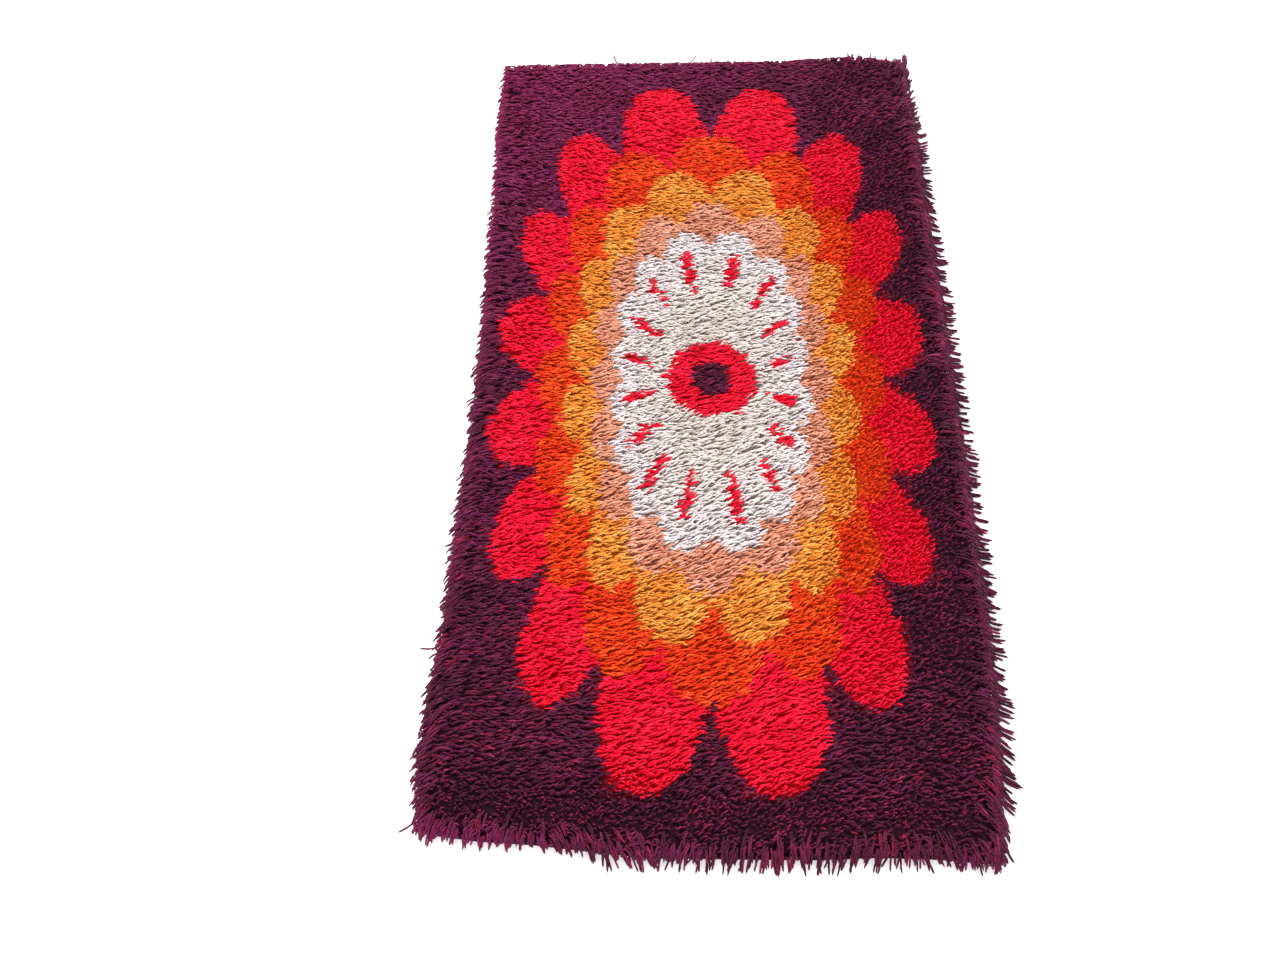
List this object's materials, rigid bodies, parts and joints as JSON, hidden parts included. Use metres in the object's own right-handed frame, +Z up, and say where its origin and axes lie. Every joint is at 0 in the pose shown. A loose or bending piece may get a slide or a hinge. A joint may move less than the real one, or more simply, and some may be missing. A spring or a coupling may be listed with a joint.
{
  "type": "shag carpet",
  "caption": "Long-pile knotted shag carpet lying flat, with a lumpy pile, loose locks of yarn along its rim and a big flower in warm colours on a dark plum ground.",
  "frame": {"origin": "middle of the bounding box of the whole carpet, at the floor it lies on", "axes": "+Y along the carpet's length, from its near short side to its far one, +X across it to the right, +Z up out of the pile"},
  "size_m": [0.7506, 1.444, 0.0294],
  "materials": {
    "plum_yarn": "matt twisted wool yarn, dark plum with a few purple and crimson strands, the ground of the pile",
    "crimson_yarn": "matt twisted wool yarn, crimson",
    "orange_yarn": "matt twisted wool yarn, orange",
    "gold_yarn": "matt twisted wool yarn, gold",
    "pink_yarn": "matt twisted wool yarn, dusty pink",
    "offwhite_yarn": "matt twisted wool yarn, off-white",
    "ground_weave": "plain woven ground with the rows of knots showing, on the underside"
  },
  "bodies": {
    "root": {"shag_carpet": "plum_yarn"}
  },
  "joints": []
}
